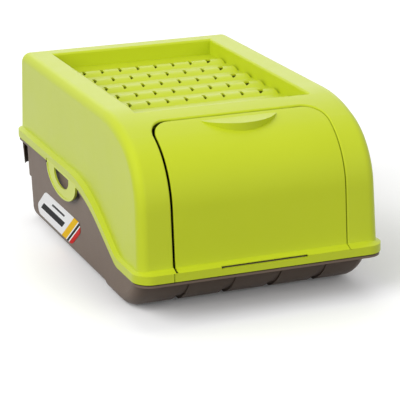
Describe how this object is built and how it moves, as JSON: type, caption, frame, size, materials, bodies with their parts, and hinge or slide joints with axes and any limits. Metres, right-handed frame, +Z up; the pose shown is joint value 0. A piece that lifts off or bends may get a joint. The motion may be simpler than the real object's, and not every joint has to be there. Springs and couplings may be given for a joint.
{
  "type": "potato storage bin",
  "caption": "Potato storage bin: tray with an S-shaped rim under a lift-off hood that has a vented top recess, a curved front flap and swing loops at the sides.",
  "frame": {"origin": "middle of the footprint on the floor, bottom centre of the whole bin", "axes": "+Z up, front flap toward -Y, +X to the right seen from the front"},
  "size_m": [0.29, 0.448, 0.2065],
  "materials": {
    "green_plastic": "satin moulded polypropylene",
    "brown_plastic": "satin moulded polypropylene",
    "label_film": "glossy printed film"
  },
  "bodies": {
    "tray": {"base_tray": "brown_plastic", "side_label": "label_film"},
    "hood": {"hood": "green_plastic", "flap_strip": "green_plastic"},
    "flap": {"front_flap": "green_plastic"},
    "loop_left": {"pull_loop_left": "green_plastic"},
    "loop_right": {"pull_loop_right": "green_plastic"}
  },
  "joints": [
    {"name": "hood_lift", "type": "slide", "parent": "tray", "child": "hood", "axis": [0, 0, 1], "range_m": [0, 0.12]},
    {"name": "flap_hinge", "type": "hinge", "parent": "hood", "child": "flap", "pos_m": [0, -0.224, 0.0584], "axis": [1, 0, 0], "range_deg": [0, 100]},
    {"name": "loop_left_hinge", "type": "hinge", "parent": "hood", "child": "loop_left", "pos_m": [-0.1429, 0.037, 0.1025], "axis": [0, 0.9998, 0.0174], "range_deg": [0, 100]},
    {"name": "loop_right_hinge", "type": "hinge", "parent": "hood", "child": "loop_right", "pos_m": [0.1429, 0.037, 0.1025], "axis": [0, -0.9998, -0.0174], "range_deg": [0, 100]}
  ]
}
